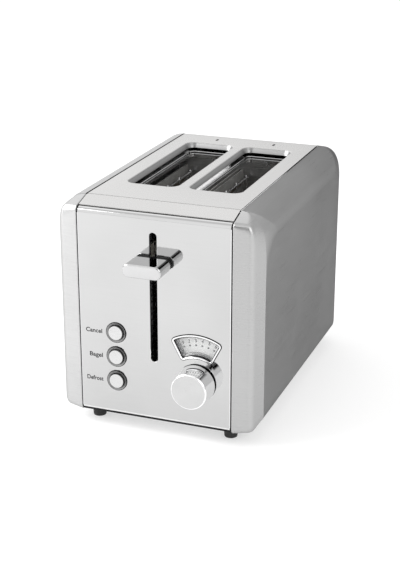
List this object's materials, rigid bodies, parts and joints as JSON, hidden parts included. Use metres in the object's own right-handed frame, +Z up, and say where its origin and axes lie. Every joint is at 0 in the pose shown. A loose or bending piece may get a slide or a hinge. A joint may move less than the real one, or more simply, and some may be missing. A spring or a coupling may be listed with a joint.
{
  "type": "pop up toaster",
  "caption": "Upright box toaster with bread slots in its top, a sprung lift lever, push buttons, a browning dial and a pull-out crumb tray.",
  "frame": {"origin": "middle of the object's footprint, on the surface that the feet stand on; the footprint runs from the lever knob's face to the crumb tray's grip", "axes": "+Z up, +Y from the lever side to the rear, +X to the right as seen from the lever side"},
  "size_m": [0.1754, 0.2898, 0.194],
  "materials": {
    "brushed_shell": "brushed, satin sheen",
    "polished_panel": "finely polished, mirrors nearby parts softly",
    "top_satin": "light satin",
    "chrome": "bright plated",
    "spun_caps": "spun satin",
    "dark_trim": "moulded, satin",
    "rubber": "matt",
    "chamber_steel": "heat-darkened sheet",
    "bright_steel": "bright sheet and wire",
    "mica": "flaky sheet",
    "ribbon": "heat-tinted ribbon",
    "bush": "low-friction plastic",
    "iron": "machined soft iron",
    "winding": "enamelled wire",
    "circuit": "lacquered board",
    "scale": "printed plate",
    "window": "clear"
  },
  "bodies": {
    "housing": {"left_side_shell": "brushed_shell", "right_side_shell": "brushed_shell", "front_panel": "polished_panel", "rear_panel": "polished_panel", "top_panel": "top_satin", "base_plate": "chamber_steel", "foot_front_left": "rubber", "foot_front_right": "rubber", "foot_rear_left": "rubber", "foot_rear_right": "rubber", "case_screws": "bright_steel", "front_end_plate": "chamber_steel", "rear_end_plate": "chamber_steel", "chamber_top_plate": "bright_steel", "left_heat_shield": "chamber_steel", "right_heat_shield": "chamber_steel", "left_outer_board": "mica", "left_inner_board": "mica", "right_inner_board": "mica", "right_outer_board": "mica", "left_outer_ribbon": "ribbon", "left_inner_ribbon": "ribbon", "right_inner_ribbon": "ribbon", "right_outer_ribbon": "ribbon", "left_guide_rod": "bright_steel", "right_guide_rod": "bright_steel", "rod_bracket": "chamber_steel", "return_springs": "bright_steel", "electromagnet_core": "iron", "electromagnet_coil": "winding", "power_board": "circuit", "control_carrier": "dark_trim", "control_board": "circuit", "button_switches": "dark_trim", "browning_control": "dark_trim", "scale_bezel": "chrome", "scale_plate": "scale", "scale_window": "window", "button_bezels": "dark_trim", "cord_gland": "dark_trim", "end_plate_rivets": "chrome"},
    "carriage": {"carriage_plate": "chamber_steel", "left_slide_bush": "bush", "right_slide_bush": "bush", "left_bread_rest": "bright_steel", "right_bread_rest": "bright_steel", "latch_armature": "iron", "lever_arm": "iron", "lever_knob": "chrome"},
    "left_outer_grille": {"left_outer_guide": "bright_steel"},
    "left_inner_grille": {"left_inner_guide": "bright_steel"},
    "right_inner_grille": {"right_inner_guide": "bright_steel"},
    "right_outer_grille": {"right_outer_guide": "bright_steel"},
    "cancel_key": {"cancel_button": "spun_caps"},
    "bagel_key": {"bagel_button": "spun_caps"},
    "defrost_key": {"defrost_button": "spun_caps"},
    "dial": {"dial_knob": "chrome", "browning_shaft": "bright_steel"},
    "tray": {"crumb_tray": "bright_steel", "crumb_tray_grip": "dark_trim"}
  },
  "joints": [
    {"name": "carriage_slide", "type": "slide", "parent": "housing", "child": "carriage", "axis": [0, 0, 1], "range_m": [-0.078, 0.018], "stiffness_N_per_m": 100, "springref_m": 0.0143, "deforming": ["return_springs"]},
    {"name": "left_outer_hinge", "type": "hinge", "parent": "housing", "child": "left_outer_grille", "pos_m": [-0.0395, 0.01565, 0.036], "axis": [0, 1, 0], "range_deg": [-0.9, 3.6]},
    {"name": "left_inner_hinge", "type": "hinge", "parent": "housing", "child": "left_inner_grille", "pos_m": [-0.0155, 0.01565, 0.036], "axis": [0, 1, 0], "range_deg": [-3.6, 0.9]},
    {"name": "right_inner_hinge", "type": "hinge", "parent": "housing", "child": "right_inner_grille", "pos_m": [0.0155, 0.01565, 0.036], "axis": [0, 1, 0], "range_deg": [-0.9, 3.6]},
    {"name": "right_outer_hinge", "type": "hinge", "parent": "housing", "child": "right_outer_grille", "pos_m": [0.0395, 0.01565, 0.036], "axis": [0, 1, 0], "range_deg": [-3.6, 0.9]},
    {"name": "cancel_press", "type": "slide", "parent": "housing", "child": "cancel_key", "axis": [0, 1, 0], "range_m": [0, 0.002], "stiffness_N_per_m": 300},
    {"name": "bagel_press", "type": "slide", "parent": "housing", "child": "bagel_key", "axis": [0, 1, 0], "range_m": [0, 0.002], "stiffness_N_per_m": 300},
    {"name": "defrost_press", "type": "slide", "parent": "housing", "child": "defrost_key", "axis": [0, 1, 0], "range_m": [0, 0.002], "stiffness_N_per_m": 300},
    {"name": "dial_turn", "type": "hinge", "parent": "housing", "child": "dial", "pos_m": [0.0364, -0.1251, 0.0522], "axis": [0, 1, 0], "range_deg": [-25, 25]},
    {"name": "tray_slide", "type": "slide", "parent": "housing", "child": "tray", "axis": [0, 1, 0], "range_m": [0, 0.19]}
  ],
  "couplings": [
    {"joint": "left_outer_hinge", "follows": "carriage_slide", "rad_per_m": -0.78316},
    {"joint": "left_inner_hinge", "follows": "carriage_slide", "rad_per_m": 0.78316},
    {"joint": "right_inner_hinge", "follows": "carriage_slide", "rad_per_m": -0.78316},
    {"joint": "right_outer_hinge", "follows": "carriage_slide", "rad_per_m": 0.78316}
  ]
}
